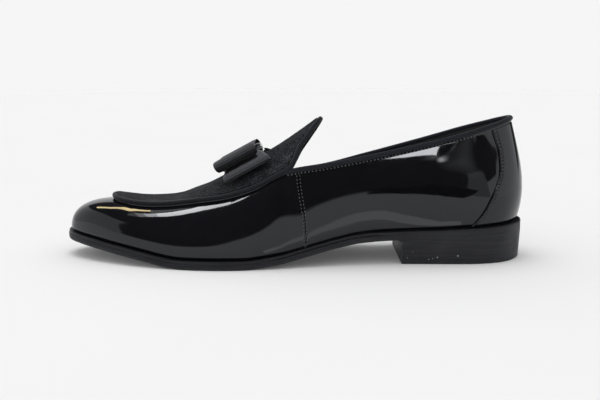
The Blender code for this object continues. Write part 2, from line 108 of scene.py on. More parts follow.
# How the wall swells between the sole and the rim
WALL_FORM = table(
    "along flare rise reach drop ledge",
    (0.9, 0.3, 13.0, 20.0, 0.5, 1.7), (12.0, 1.1, 13.2, 13.7, 2.4, 2.2),
    (25.0, 1.8, 17.4, 14.1, 3.1, 2.2), (36.0, 1.7, 22.1, 16.0, 10.7, 2.2),
    (47.0, 1.2, 26.4, 11.1, 11.6, 1.9), (52.5, 0.9, 25.6, 5.5, 14.9, 1.7),
    (66.0, 2.7, 17.0, 7.0, 18.0, 1.7), (80.0, 5.0, 12.3, 8.3, 18.6, 2.4),
    (90.0, 5.5, 22.0, 4.6, 23.0, 3.4), (98.0, 7.0, 22.0, 6.0, 24.0, 4.0),
)

# Underside of the sole, in per cent of the toe spring and of the heel's height
UNDERSIDE = table(
    "along spring lift",
    (0.0, 100.0, 0.0), (6.9, 78.0, 0.0), (12.5, 57.0, 0.0), (19.0, 30.5, 0.0),
    (23.3, 9.5, 0.0), (26.9, 0.0, 0.0), (40.0, 0.0, 0.0), (43.0, 0.0, 4.6),
    (47.3, 0.0, 14.0), (52.0, 0.0, 32.0), (58.8, 0.0, 57.7), (63.7, 0.0, 72.0),
    (70.0, 0.0, 79.0), (79.8, 0.0, 83.5), (89.7, 0.0, 92.0), (100.0, 0.0, 100.0),
)

# Edge of the tongue behind the throat
TONGUE = table(
    "top half height fall",
    (48.9, 33.4, 66.4, 9.2), (50.1, 30.2, 72.4, 8.4), (51.2, 24.0, 80.5, 8.5), (52.7, 17.0, 86.8, 6.5),
    (54.2, 10.0, 93.0, 4.6), (55.2, 4.5, 96.5, 2.2), (55.6, 0.0, 97.3, 0.0),
)
APRON_ROWS = STATIONS[:THROAT] + TONGUE
APRON_TO_TIP = len(APRON_ROWS) - 1
TIP_HALF = 0.01

# Crown of the apron and the tongue, in per cent of the instep's height
CROWN = table(
    "along height",
    (10.8, 49.4), (14.1, 48.6), (18.1, 47.0), (22.0, 47.3), (25.1, 49.2), (29.0, 54.8), (31.7, 58.7),
    (38.8, 73.3), (46.0, 88.4), (51.2, 101.6), (53.8, 108.8), (55.1, 112.2), (55.6, 112.5),
)

# Front edge of the counter on the wall
COUNTER_EDGE = table(
    "share station",
    (0.0, 15.68), (0.16, 16.12), (0.28, 16.36), (0.41, 16.64),
    (0.56, 16.94), (0.68, 17.06), (0.80, 17.11), (1.0, 16.97),
)
COUNTER_BOTTOM = 0.015
COUNTER_TOP = 0.99

# Ribbon bow
RIBBON = 0.8
BOW_PLACE = 39.4
BOW_LEAN = 3.0
BOW_LOOPS = table(
    "name half_span half_width slip middle round lift bend",
    ("bow_lower_loop", 25.0, 16.6, 1.6, 1.6, 1.8, 2.9, -6.8),
    ("bow_upper_loop", 23.0, 14.9, -1.7, 1.6, 3.5, 5.6, 1.25),
)
LOOP_PINCH = 0.3
LOOP_SWELL = 1.5
LOOP_GATHER = 0.35
BAND_HALF_WIDTH = 6.0
BAND_HALF_LENGTH = 14.6
BAND_SLIP = 0.1
BAND_BOTTOM = 1.0
BAND_TOP = 7.5
BAND_FLATNESS = 0.25

# Fine relief that the solids leave out
RIB_PITCH = 1.35          # ribs of the grosgrain ribbon
RIB_DEPTH = 0.28
BINDING_RIB_PITCH = 0.9
BINDING_RIB_DEPTH = 0.05
BINDING_TIP = 0.02        # least share of the radius, squared, at a binding's open ends
SELVEDGE = 0.93           # share of the ribbon's half width where its woven edge starts
RIBBON_COLUMNS = (-1.0, -0.975, -SELVEDGE, -0.88, -0.5, 0.0, 0.5, 0.88, SELVEDGE, 0.975, 1.0)
RIBBON_EDGE = 0.55        # share of the ribbon's thickness at its very edge
LEATHER = 1.3             # the part of the wall that is patent leather; the lining is the rest
LINING_GAP = 0.05
RIM_DEPTH = 0.6           # how far under the middle of the binding the wall ends
RIM_PULL = 0.4            # how much the inner skins close up on the way there
SUEDE_BOTTOM = 0.3        # shares of half the apron's thickness, below its middle
LINING_TOP = 0.34
APRON_SEAT = 0.3          # share of the gap between the apron and its binding
COLLAR_START = 10.4       # the collar's binding starts under the apron's
SEAM_STATION = 11.03
SEAM_FURROW = 0.8         # depth of the open seam between the vamp and the quarter
SEAM_FURROW_HALF = 0.28
SEAM_FURROW_EDGE = 0.3
RELIEF_LIMIT = 1.1        # less than the leather, so that the lining stays covered
THREAD_ROWS = (-0.9, 0.9)
THREAD_ROW_ENDS = (0.02, 0.985)
THREAD_SINK = 0.05
THREAD_SINK_RUN = 0.5
SOLE_TUCK = 1.2           # the wall turns in where it meets the sole
TUCK_RISE = 2.6
WAIST_TUCK = 3.2          # and higher up over the waist, where the top of the sole is cut back
WAIST_CUT = 1.0
WAIST = (44.0, 50.0, 64.0, 70.0)
COUNTER_RISE = 0.6
COUNTER_ROUND = 0.4
COUNTER_BEAD = 0.16       # the edge stands up a little beside the stitches
BEAD_PLACE = 0.9
BEAD_RUN = 0.4
COUNTER_WORKED = (0.6, 4.5)   # stretch behind the rolled edge that takes in the stitches
COUNTER_PLAIN = 9.0       # a distance behind the edge where the face is plain
COUNTER_SEAT = 0.6        # share of the gap under the counter's inner face
COUNTER_ROWS = (2.0, 3.1)
COUNTER_ROW_ENDS = (COUNTER_BOTTOM + 0.01, COUNTER_TOP - 0.02)
COLLAR_ROW_SHARE = 0.995
COLLAR_ROW_ENDS = (10.45, 16.2)
EDGE_STITCH, COLLAR_STITCH = table("pitch fill radius", (2.2, 0.55, 0.28), (2.3, 0.5, 0.42))
THREAD_TAPER = 0.8        # what a stitch loses to its ends and what it keeps, of its radius squared
THREAD_TIP = 0.05
THREAD_LIFT = 0.75        # how a stitch rides up in the middle and dives at its ends, in radii
THREAD_DIVE = 1.3

# Soft dents of the wall: place between the stations, share of the height, spread in each, depth
DENTS = table(
    "station share spread height depth",
    (15.3, 0.88, 0.35, 0.08, 0.10), (13.9, 0.70, 0.70, 0.10, 0.12), (7.4, 0.22, 0.8, 0.05, 0.06),
    (5.6, 0.27, 0.6, 0.05, 0.06), (18.0, 0.38, 0.9, 0.03, 0.12),
)

# Painted highlight: pale flecks on the nap along the apron's edge at the throat
NAP_HIGHLIGHT_SPOTS = table(
    "place radius",
    ((-13.0, -26.5, 58.0), 5.0), ((-8.0, -26.5, 60.5), 5.0), ((-2.0, -25.0, 67.0), 5.0),
)
NAP_HIGHLIGHT_CORE = 0.3           # share of the radius where the painted highlight is at full strength

# Profiles of the sole, the heel and the insole
SOLE_STEPS = table(
    "share inset",
    (0.0, 0.9), (0.03, 0.45), (0.08, 0.12), (0.14, 0.0), (0.36, 0.0), (0.40, 0.16), (0.44, 0.0),
    (0.60, 0.0), (0.64, 0.12), (0.68, 0.45), (0.72, 0.40), (0.88, 0.36), (0.95, 0.5), (1.0, 0.9),
)
CHANNEL = ((2.5, 0.0), (4.6, 0.0), (5.0, 0.35), (5.6, 0.35), (6.0, 0.0), (9.5, 0.0))
INSOLE_RINGS = ((0.0, GAP), (0.0, 1.3), (0.25, 1.85), (0.8, INSOLE_THICKNESS), (7.0, INSOLE_THICKNESS))
HEEL_TOP_INSET = 0.3
HEEL_FOOT_INSET = 1.2
HEEL_FOOT_ROUND = 0.045   # share of the heel's height over which its foot is rounded off
HEEL_FOOT_SHARES = (0.0, 0.02, HEEL_FOOT_ROUND)
HEEL_FOOT_CUT = 0.6
HEEL_LAYERS = (0.22, 0.35, 0.48, 0.61, 0.74, 0.87)
LAYER_GROOVE = 0.05
LAYER_HALF = 0.012
HEEL_OVERLAP = 0.15       # the heel's top runs up behind the flush edge of the sole
SEAT_RUN = 6.0            # the sole's edge turns plain over this length at the breast
SEAT_TOP = 0.9
SEAT_CUT = 0.65           # the waist's cut takes in the edge above this share of it

# Small pale scuffs on the lateral side of the heel: place along the shoe and height
SCUFFS = table(
    "x height radius",
    (72.0, 4.3, 0.30), (75.3, 8.2, 0.25), (85.6, 3.2, 0.35),
    (88.1, 3.6, 0.30), (91.0, 4.6, 0.45), (104.0, 5.6, 0.55),
)
SCUFF_EDGE = (0.6, 1.2)   # shares of the radius between which a scuff fades

# Fineness of the meshes
STEP = 0.01               # stations or shares to each side where a direction is taken
RIBS_PER_STATION = 10
SEAM_REACH = 0.35         # stations to each side of the seam with finer ribs
SEAM_MARGIN = 0.02
SEAM_RIBS = 70
WALL_RINGS = 56
TUCK_RINGS = 8
TUCK_SHARE = 0.06
LINING_RINGS = 24
LINING_STEP = 0.2
SOLE_STEP = 0.125
APRON_COLUMNS = 41
APRON_ROWS_PER_STATION = 8
COUNTER_MESH_ROWS = 44
COUNTER_COLUMNS = (9, 28, 64)   # on the rolled edge, on the worked stretch and round the back
EDGE_SAMPLES = 1200
INSET_ROUNDS = 5
APRON_BINDING_SAMPLES = 2400
COLLAR_BINDING_SAMPLES = 1600
BINDING_STEPS = 4         # rings of a binding to a rib
BINDING_SIDES = 20
RIB_STEPS = 6             # rows of a bow's ribbon to a rib
RING_SAMPLES = 6000
LOOP_STEPS = 400
ROUND_STEPS = 120
HEEL_SEARCH = 12.0        # a station well in front of the heel's breast
HEEL_SAMPLES = 1400
HEEL_POINTS = 120
THREAD_RINGS = 7
THREAD_SIDES = 8
ROW_SAMPLES = 160
COLLAR_ROW_SAMPLES = 300
WELD = 1e-6               # metres within which points become one
SLIVER = 1e-7
TINY = 1e-9               # a length or a slope that counts as none
SMOOTH, SOLE_SMOOTH, THREAD_SMOOTH = 50.0, 30.0, 80.0   # degrees up to which an edge is shaded soft

# Colours
COOL = (0.93, 0.95, 1.0, 1.0)
NAP_SHEEN = (0.55, 0.58, 0.66, 1.0)
PALE = (1.0, 1.0, 1.0)
WARM = (1.0, 0.80, 0.42)
# pale colour of the painted highlight flecks on the nap at the throat
NAP_HIGHLIGHT_COLOUR = (0.13, 0.133, 0.14)
SCUFF_COLOUR = (0.30, 0.29, 0.28)
PATENT = ((0.0040, 0.0041, 0.0058), (0.0056, 0.0056, 0.0074))
NAP = ((0.0015, 0.0016, 0.0024), (0.036, 0.0378, 0.0445))
BOW_RIBBON = ((0.0040, 0.0041, 0.0047), (0.0122, 0.0124, 0.0140))
BINDING_RIBBON = ((0.0112, 0.0119, 0.0158), (0.0240, 0.0256, 0.0325))
DYED_EDGE = ((0.009, 0.0092, 0.0115), (0.0215, 0.0224, 0.0275))
LINING = ((0.010, 0.0102, 0.0118), (0.017, 0.0173, 0.0195))
# seam thread: partly the thread's own grey, partly painted highlight
SEAM_THREAD_GREY_AND_HIGHLIGHT = ((0.05, 0.05, 0.054), (0.15, 0.15, 0.156))
COUNTER_THREAD = ((0.012, 0.012, 0.014), (0.04, 0.04, 0.043))
# collar thread: the thread's grey made paler still with painted highlight
COLLAR_THREAD_PAINTED_HIGHLIGHT = ((0.07, 0.07, 0.074), (0.19, 0.19, 0.195))
FLOOR = ((0.73, 0.73, 0.73), (0.75, 0.75, 0.75))
STREAK_STRETCH = (0.06, 0.06, 1.8)

# Light cards that only reflections see: square to an axis at a distance, with an outline in that plane.
# A fade gives the centre and the reach of a round soft edge. The large ones stand round the shoe; the
# near ones hang low over it, a hand's breadth away.
X, Y, Z = 0, 1, 2
NEAR = 120.0
LOW = 80.0
SKIN = 0.5
FADE_DEPTH = 1000.0
Card = namedtuple("Card", "name axis at strength outline fade colour", defaults=(None, PALE))
CARDS = (
    Card("card_left", X, -1000, 0.68, ((-546, 0), (1200, 0), (1200, 780), (-546, 820))),
    Card("card_back", Y, 1500, 0.85, ((-2000, 0), (120, 0), (120, 800), (-2000, 800))),
    Card("card_right", X, 1200, 1.0,
         ((-1000, 0), (550, 0), (550, 480), (-530, 465), (-600, 400), (-1000, 360))),
    Card("card_right_front", Y, -1000, 0.5, ((530, 0), (1200, 0), (1200, 500), (1100, 500), (700, 355))),
    Card("panel_collar", Y, -300, 14.0, ((68, 266), (137, 234), (137, 360), (68, 360))),
    Card("panel_quarter", Y, -299, 8.0, ((120, 160), (220, 160), (220, 250), (120, 250)),
         ((170, 203), (34, 20))),
    Card("panel_haze", Y, -298, 1.3, ((40, 180), (170, 180), (170, 280), (40, 280)), ((127, 224), (36, 26))),
    Card("panel_cloud", Y, -297, 0.5, ((140, 110), (400, 110), (400, 260), (140, 260)),
         ((265, 176), (120, 50))),
    Card("flag_quarter", Y, -150, 0.0,
         ((67, 39), (85, 35), (104, 31.5), (142, 29), (156, 29), (203, 58), (67, 58))),
    Card("panel_vamp", Z, LOW, 9.0,
         ((-104, -20), (-98, -21), (-87, -20), (-77, -15), (-69, -13), (-63, -16), (-56, -19), (-50, -20),
          (-50, -17), (-56, -14), (-63, -11.5), (-68, -8), (-74, 0), (-82, 1), (-93, -0.5), (-104, -2.5))),
    Card("panel_vamp_edge", Z, LOW, 5.5, ((-113, -20), (-104, -20), (-104, -2.5), (-113, -4))),
    Card("panel_vamp_end", Z, LOW, 2.4, ((-120, -23), (-113, -20), (-113, -4), (-118, -6))),
    Card("panel_vamp_tail", Z, LOW, 0.8, ((-130, -24), (-120, -23), (-118, -6), (-124, -12))),
    Card("card_vamp", Z, LOW, 0.65,
         ((-108, -3), (-104, -2.5), (-93, -0.5), (-82, 1), (-74, 0), (-77, 9), (-81, 16), (-86, 25),
          (-95, 34), (-103, 38), (-108, 30))),
    Card("floor_band", Z, SKIN, 1.45,
         ((-7, -82), (10, -88), (38, -116), (60, -130), (69, -114), (75, -97), (86, -78), (100, -66),
          (120, -68), (117, -56), (98, -51), (84, -58), (73, -70), (64, -86), (52, -106), (26, -87),
          (6, -75), (-8, -72))),
    Card("strip_warm", Z, NEAR, 9.0,
         ((-197, 34), (-158, 13), (-133, 20), (-124, 42), (-118, 52), (-118, 64), (-126, 58), (-136, 42),
          (-158, 38), (-197, 60)), None, WARM),
)

# Stage, lamps and camera: places in metres, angles in degrees
FLOOR_REACH = 2.4
FLOOR_GLOW = 0.07
DOME_SHARE = 0.98
BACKDROP_LEVEL = 0.92
WORLD_LEVEL = 0.05
HORIZON = (-0.019, 0.036)      # upward part of the directions between which the floor's light dies away
HORIZON_LEVEL = 0.85
SUNS = table(
    "name strength angle turn",
    ("soft_sky", 2.4, 150.0, (0.0, -12.0, 0.0)),
    ("key", 1.1, 40.0, (-5.0, -8.0, 0.0)),
)
BOW_LIGHT_PLACE = (-0.036, -0.108, 0.388)
BOW_LIGHT_AIM = (-0.036, 0.0, 0.055)
BOW_LIGHT_POWER = 8.5
BOW_LIGHT_SIZE = 0.08
CAMERA_PLACE = (0.00375, -0.6, 0.138)
CAMERA_PITCH = 9.63
CAMERA_LENS = 55.02
CAMERA_SENSOR = 36.0


def along(per_cent):
    """Distance from the middle of the shoe for a place along its length."""
    return (np.asarray(per_cent, float) / 100.0 - 0.5) * LENGTH


def width(per_cent):
    return per_cent / 100.0 * BALL_WIDTH


def unit(vectors):
    return vectors / np.linalg.norm(vectors, axis=-1, keepdims=True)


def smooth_table(places, values, wanted):
    """Monotone cubic through the rows of a table, so that a level stretch stays level."""
    places = np.asarray(places, float)
    values = np.asarray(values, float)
    wanted = np.clip(np.asarray(wanted, float), places[0], places[-1])
    steps = np.diff(places)
    slopes = np.diff(values) / steps
    tangents = np.zeros(len(places))
    tangents[0] = slopes[0]
    tangents[-1] = slopes[-1]
    for row in range(1, len(places) - 1):
        before, after = slopes[row - 1], slopes[row]
        if before * after > 0.0:
            tangents[row] = 2.0 * before * after / (before + after)
    row = np.clip(np.searchsorted(places, wanted) - 1, 0, len(steps) - 1)
    u = (wanted - places[row]) / steps[row]
    start = values[row] * (1 + 2 * u) * (1 - u) ** 2 + tangents[row] * steps[row] * u * (1 - u) ** 2
    end = values[row + 1] * u ** 2 * (3 - 2 * u) - tangents[row + 1] * steps[row] * u ** 2 * (1 - u)
    return start + end


def closed_curve(rows, places):
    """Catmull-Rom curve through rows that close on themselves, read at fractional row numbers."""
    rows = np.asarray(rows, float)
    row = np.floor(places).astype(int)
    u = (places - row)[:, None]
    before, here, after, beyond = (rows[(row + k) % len(rows)] for k in (-1, 0, 1, 2))
    return 0.5 * (2 * here + (after - before) * u
                  + (2 * before - 5 * here + 4 * after - beyond) * u ** 2
                  + (3 * here - before - 3 * after + beyond) * u ** 3)


def axis_y(x):
    """Sideways place of the last's axis: straight at the heel, leaning medially to the toe."""
    start = along(LEAN_START)
    share = np.clip((start - x) / (start - along(0.0)), 0.0, None)
    return TOE_LEAN * share ** LEAN_POWER


def by_place(rows, values, x):
    """Values that belong to the rows of a table along the shoe, read at x."""
    return smooth_table(along([row.along for row in rows]), values, x)


def underside(x):
    """Height of the sole's underside."""
    heights = [row.spring / 100 * TOE_SPRING + row.lift / 100 * HEEL_HEIGHT for row in UNDERSIDE]
    return by_place(UNDERSIDE, heights, x)


def lifted(ring, height):
    """A flat ring moved up to a height over the sole's underside."""
    ring[:, 2] = underside(ring[:, 0]) + height
    return ring


def wall_form(x, column):
    return by_place(WALL_FORM, [getattr(row, column) for row in WALL_FORM], x)


def both_sides(rows):
    """Rows down the lateral side and back up the medial side, as (row, side) pairs."""
    return [(row, -1.0) for row in rows] + [(row, 1.0) for row in rows[-2:0:-1]]


def foot_rows():
    points = []
    for row, side in both_sides(STATIONS):
        x = along(row.foot)
        half = row.lateral if side < 0 else row.medial
        points.append((x, axis_y(x) + side * width(half)))
    return points


def edge_rows(rows):
    points = []
    for row, side in both_sides(rows):
        x = along(row.top)
        height = row.height - (row.fall if side > 0 else 0.0)
        points.append((x, axis_y(x) + side * width(row.half), height / 100 * BACK_HEIGHT))
    return points


def outward(rows, places):
    """Unit vectors square to a closed curve in plan, pointing away from its inside."""
    run = closed_curve(rows, places + STEP) - closed_curve(rows, places - STEP)
    return unit(np.column_stack((run[:, 1], -run[:, 0], np.zeros(len(run)))))


def foot_line(places, inset=0.0):
    """Points on the line where the wall meets the sole, moved inwards by inset."""
    flat = closed_curve(foot_rows(), places)
    points = np.column_stack((flat, np.zeros(len(flat))))
    return points - outward(foot_rows(), places) * np.reshape(inset, (-1, 1))


def sole_line(places, inset):
    """Points on the sole's outline, which stands out by the ledge, moved inwards by inset."""
    ledge = wall_form(foot_line(places)[:, 0], "ledge")
    return foot_line(places, inset - ledge)


def wall_points(places, share):
    """Outer face of the upper: share runs from 0 at the sole to 1 at the rim."""
    foot = foot_line(places)
    x = foot[:, 0]
    foot[:, 2] = underside(x) + SOLE_EDGE + GAP
    top = closed_curve(edge_rows(STATIONS), places)
    top[:, 2] -= BINDING_RADIUS + RIM_GAP
    up = np.array((0.0, 0.0, 1.0))
    flare, rise, reach, drop = (wall_form(x, name)[:, None] for name in ("flare", "rise", "reach", "drop"))
    leave = foot + outward(foot_rows(), places) * flare + up * rise
    arrive = top + outward(edge_rows(STATIONS), places) * reach - up * drop
    t = np.reshape(share, (-1, 1))
    return (foot * (1 - t) ** 3 + leave * 3 * t * (1 - t) ** 2
            + arrive * 3 * t ** 2 * (1 - t) + top * t ** 3)


def wall_normals(places, share):
    """Unit vectors square to the upper's outer face, pointing out."""
    around = wall_points(places + STEP, share) - wall_points(places - STEP, share)
    upward = (wall_points(places, np.minimum(share + STEP, 1.0))
              - wall_points(places, np.maximum(share - STEP, 0.0)))
    return unit(np.cross(around, upward))


def apron_sides():
    """The lateral and the medial edge of the apron, from its front to the tip of the tongue."""
    rows = edge_rows(APRON_ROWS)
    places = np.linspace(0.0, APRON_TO_TIP, EDGE_SAMPLES)
    return closed_curve(rows, places), closed_curve(rows, 2 * APRON_TO_TIP - places)


def crown_height(x):
    return by_place(CROWN, [row.height / 100 * INSTEP_HEIGHT for row in CROWN], x)


def apron_height(x, y):
    """Middle surface of the apron and the tongue: an arch across, from edge to edge."""
    lateral, medial = apron_sides()
    low = np.where(y < axis_y(x), np.interp(x, lateral[:, 0], lateral[:, 2]),
                   np.interp(x, medial[:, 0], medial[:, 2]))
    half = np.maximum(np.interp(x, lateral[:, 0], axis_y(lateral[:, 0]) - lateral[:, 1]), TIP_HALF)
    share = np.clip(np.abs(y - axis_y(x)) / half, 0.0, 1.0)
    return low + (crown_height(x) - low) * (1.0 - share ** 2)


def power(value, exponent):
    """Power that keeps the sign, for the corners of a rounded loop."""
    return np.sign(value) * np.abs(value) ** exponent


def near(distance, run):
    """Bell of height 1 about distance 0."""
    return np.exp(-(distance / run) ** 2)


def ease(value):
    """Smooth step from 0 to 1."""
    value = np.clip(value, 0.0, 1.0)
    return value ** 2 * (3 - 2 * value)


def waist_share(x):
    """1 along the waist and 0 in front of it and behind it."""
    start, full, last, end = along(WAIST)
    return ease((x - start) / (full - start)) * (1.0 - ease((x - last) / (end - last)))


def seam_distance(places, share):
    """Distance behind the side seam along the wall, on either side of the shoe."""
    side = np.minimum(places, AROUND - places)
    seam = np.full(len(side), SEAM_STATION)
    return wall_points(side, share)[:, 0] - wall_points(seam, share)[:, 0]


def soft_relief(places, share):
    """How far the plain wall stands out at its dents and where it turns in to the sole."""
    side = np.minimum(places, AROUND - places)
    height = np.zeros(len(places))
    for dent in DENTS:
        height -= dent.depth * near(side - dent.station, dent.spread) * near(share - dent.share, dent.height)
    foot = wall_points(places, 0.0)
    rise = wall_points(places, share)[:, 2] - foot[:, 2]
    turn = TUCK_RISE + WAIST_TUCK * waist_share(foot[:, 0])
    return height - SOLE_TUCK * (1.0 - np.clip(rise / turn, 0.0, 1.0)) ** 2


def relief(places, share):
    """How far the worked leather stands out from the plain wall, with the open side seam."""
    places = places % AROUND
    behind = seam_distance(places, share)
    height = -SEAM_FURROW * (1.0 - ease((np.abs(behind) - SEAM_FURROW_HALF) / SEAM_FURROW_EDGE))
    for row in THREAD_ROWS:
        height = height - THREAD_SINK * near(behind - row, THREAD_SINK_RUN)
    return np.maximum(height + soft_relief(places, share), -RELIEF_LIMIT)


def worked_wall(places, share):
    return wall_points(places, share) + wall_normals(places, share) * relief(places, share)[:, None]


def wall_skin(places, shares, depth):
    """Rings of the plain wall, moved inwards by a depth."""
    return np.array([wall_points(places, share) - wall_normals(places, share) * depth for share in shares])


def add_object(name, data):
    """New object in the scene."""
    made = bpy.data.objects.new(name, data)
    bpy.context.scene.collection.objects.link(made)
    return made


def add_piece(name, shape, material, node=None, smooth=SMOOTH):
    """Piece of the shoe from points and faces, in place of a node where one is named."""
    points, faces = shape
    mesh = bpy.data.meshes.new(name)
    mesh.from_pydata((points * MM).tolist(), [], [tuple(face) for face in faces])
    work = bmesh.new()
    work.from_mesh(mesh)
    bmesh.ops.remove_doubles(work, verts=work.verts, dist=WELD)
    bmesh.ops.dissolve_degenerate(work, edges=work.edges, dist=SLIVER)
    bmesh.ops.recalc_face_normals(work, faces=work.faces)
    work.to_mesh(mesh)
    work.free()
    mesh.shade_smooth()
    mesh.set_sharp_from_angle(angle=math.radians(smooth))
    mesh.materials.append(material)
    piece = add_object(name, mesh)
    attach(piece, BODY)
    if node:
        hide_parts(node)
    return piece


def grid_faces(index, wrap_rows=False, wrap_columns=False):
    """Quads over a table of point numbers."""
    if wrap_rows:
        index = np.vstack((index, index[:1]))
    if wrap_columns:
        index = np.hstack((index, index[:, :1]))
    corners = (index[:-1, :-1], index[:-1, 1:], index[1:, 1:], index[1:, :-1])
    return np.stack([corner.ravel() for corner in corners], axis=1).tolist()


def tube_faces(index, closed=False):
    """Quads round a tube, and its two ends unless it closes on itself."""
    faces = grid_faces(index, wrap_rows=closed, wrap_columns=True)
    return faces if closed else faces + [tuple(index[0]), tuple(index[-1])]


def grid_normals(grid):
    """Unit vectors square to a grid of points. A row that is one point takes the mean of the next row."""
    normal = np.cross(np.gradient(grid, axis=1), np.gradient(grid, axis=0))
    length = np.linalg.norm(normal, axis=2, keepdims=True)
    normal = normal / np.maximum(length, TINY)
    for row in np.flatnonzero((length[:, :, 0] < TINY).all(axis=1)):
        normal[row] = unit(normal[row + 1 if row == 0 else row - 1].mean(axis=0))
    return normal


def closed_sheet(outer, inner, wrap_rows=False, wrap_columns=False):
    """Points and faces of a sheet of two skins joined along its open edges."""
    rows, columns = outer.shape[:2]
    count = rows * columns
    index = np.arange(count).reshape(rows, columns)
    faces = grid_faces(index, wrap_rows, wrap_columns)
    faces += [face[::-1] for face in grid_faces(index + count, wrap_rows, wrap_columns)]
    borders = []
    if not wrap_rows:
        borders += [(index[0], wrap_columns), (index[-1], wrap_columns)]
    if not wrap_columns:
        borders += [(index[:, 0], wrap_rows), (index[:, -1], wrap_rows)]
    for border, wrap in borders:
        line = np.append(border, border[0]) if wrap else border
        faces += [(a, b, b + count, a + count) for a, b in zip(line[:-1], line[1:])]
    return np.vstack((outer.reshape(-1, 3), inner.reshape(-1, 3))), faces


def strip_cap(start, count, first_is_tip):
    """Faces across an outline whose two sides run out from its first point, or from its first edge."""
    faces = []
    left, right = (1, count - 1) if first_is_tip else (0, count - 1)
    if first_is_tip:
        faces.append((0, 1, count - 1))
    while right - left > 2:
        faces.append((left, left + 1, right - 1, right))
        left, right = left + 1, right - 1
    if right - left == 2:
        faces.append((left, left + 1, right))
    return [tuple(start + i for i in face) for face in faces]


def closed_loft(rings, first_is_tip=True):
    """Points and faces of a solid through rings of equal count, capped across at both ends."""
    count = len(rings[0])
    index = np.arange(len(rings) * count).reshape(len(rings), count)
    faces = grid_faces(index, wrap_columns=True)
    for start in (0, (len(rings) - 1) * count):
        faces += strip_cap(start, count, first_is_tip)
    return np.vstack(rings), faces


def run_along(line):
    """How far along a line each of its points lies."""
    return np.concatenate(([0.0], np.cumsum(np.linalg.norm(np.diff(line, axis=0), axis=1))))


def at_run(wanted, run, line):
    """Points at the wanted distances along a line."""
    return np.column_stack([np.interp(wanted, run, line[:, axis]) for axis in (X, Y, Z)])


def plug(tree, socket, value):
    """Link a socket to another node's output, or set it to a plain value."""
    if isinstance(value, bpy.types.NodeSocket):
        tree.links.new(value, socket)
    else:
        socket.default_value = value


def add_node(tree, kind, output, inputs=None, **settings):
    """One output of a new node, with its inputs by name or number."""
    node = tree.nodes.new("ShaderNode" + kind)
    for name, value in settings.items():
        setattr(node, name, value)
    for key, value in (inputs or {}).items():
        plug(tree, node.inputs[key], value)
    return node.outputs[output]


def spread(tree, value, low, high, start, end):
    """A value between start and end, carried over to low and high."""
    sockets = {"Value": value, "From Min": start, "From Max": end, "To Min": low, "To Max": high}
    return add_node(tree, "MapRange", "Result", sockets)


class Nodes:
    """Small helper that builds a node material."""

    def __init__(self, name, roughness, **sockets):
        self.material = bpy.data.materials.new(name)
        self.material.use_nodes = True
        self.tree = self.material.node_tree
        self.sockets = self.tree.nodes["Principled BSDF"].inputs
        self.set(Roughness=roughness, **sockets)
        self.place = add_node(self.tree, "TexCoord", "Object")

    def set(self, **sockets):
        """Set or link sockets of the shader; a space in a name is written as an underscore."""
        for name, value in sockets.items():
            plug(self.tree, self.sockets[name.replace("_", " ")], value)

    def linked(self, name):
        """What a socket of the shader is linked to."""
        return self.sockets[name].links[0].from_socket

    def noise(self, scale, detail=3.0, roughness=0.5, stretch=None):
        place = self.place
        if stretch:
            place = add_node(self.tree, "Mapping", "Vector", {"Vector": place, "Scale": stretch})
        sockets = {"Vector": place, "Scale": scale, "Detail": detail, "Roughness": roughness}
        return add_node(self.tree, "TexNoise", "Fac", sockets)

    def spread(self, value, low=0.0, high=1.0, start=0.3, end=0.7):
        return spread(self.tree, value, low, high, start, end)

    def colours(self, value, first, second):
        """Mix of two colours, of which the first may come from another node."""
        if isinstance(first, tuple):
            first = (*first, 1.0)
        sockets = {"Factor": value, "A": first, "B": (*second, 1.0)}
        return add_node(self.tree, "Mix", "Result", sockets, data_type="RGBA")

    def math(self, operation, *values):
        return add_node(self.tree, "Math", "Value", dict(enumerate(values)), operation=operation)

    def spot(self, place, inner, outer):
        """1 up to the inner distance from a place and 0 past the outer one."""
        ends = {0: self.place, 1: [value * MM for value in place]}
        away = add_node(self.tree, "VectorMath", "Value", ends, operation="DISTANCE")
        return self.spread(away, 1.0, 0.0, inner * MM, outer * MM)

    def bump(self, height, distance, strength=1.0):
        """Relief on top of any that is there."""
        sockets = {"Distance": distance * MM, "Strength": strength, "Height": height}
        if self.sockets["Normal"].is_linked:
            sockets["Normal"] = self.linked("Normal")
        self.set(Normal=add_node(self.tree, "Bump", "Normal", sockets))


def patent_material():
    """Black patent leather: a smooth lacquer with a slow waviness."""
    nodes = Nodes("black_patent", 0.05, IOR=1.5, Specular_Tint=COOL)
    nodes.set(Base_Color=nodes.colours(nodes.spread(nodes.noise(70.0)), *PATENT),
              Roughness=nodes.spread(nodes.noise(240.0, 5.0), 0.04, 0.075))
    nodes.bump(nodes.noise(65.0, 2.0), 0.035)
    nodes.bump(nodes.noise(900.0, 2.0), 0.0015)
    return nodes.material


def suede_material():
    """Matt nap: flecked and patchy where it was brushed, with painted highlight flecks at the throat and a
    soft edge sheen.
    """
    nodes = Nodes("black_suede", 0.95, Sheen_Weight=0.05, Sheen_Roughness=0.5, Sheen_Tint=NAP_SHEEN,
                  Specular_IOR_Level=0.1)
    fine = nodes.noise(1000.0, 1.0, 0.4)
    patch = nodes.noise(110.0, 4.0, 0.6)
    nap = nodes.math("MULTIPLY_ADD", fine, 0.7, nodes.spread(patch, 0.0, 0.12))
    colour = nodes.colours(nodes.spread(nap, start=0.3, end=0.56), *NAP)
    flecks = nodes.spread(nodes.noise(1300.0, 1.0, 0.4), start=0.53, end=0.68)
    # painted highlight: pale flecks mixed into the nap's colour near the throat
    for nap_glint in NAP_HIGHLIGHT_SPOTS:
        inside = nodes.spot(nap_glint.place, nap_glint.radius * NAP_HIGHLIGHT_CORE, nap_glint.radius)
        colour = nodes.colours(nodes.math("MULTIPLY", inside, flecks), colour, NAP_HIGHLIGHT_COLOUR)
    nodes.set(Base_Color=colour)
    nodes.bump(fine, 0.45)
    return nodes.material


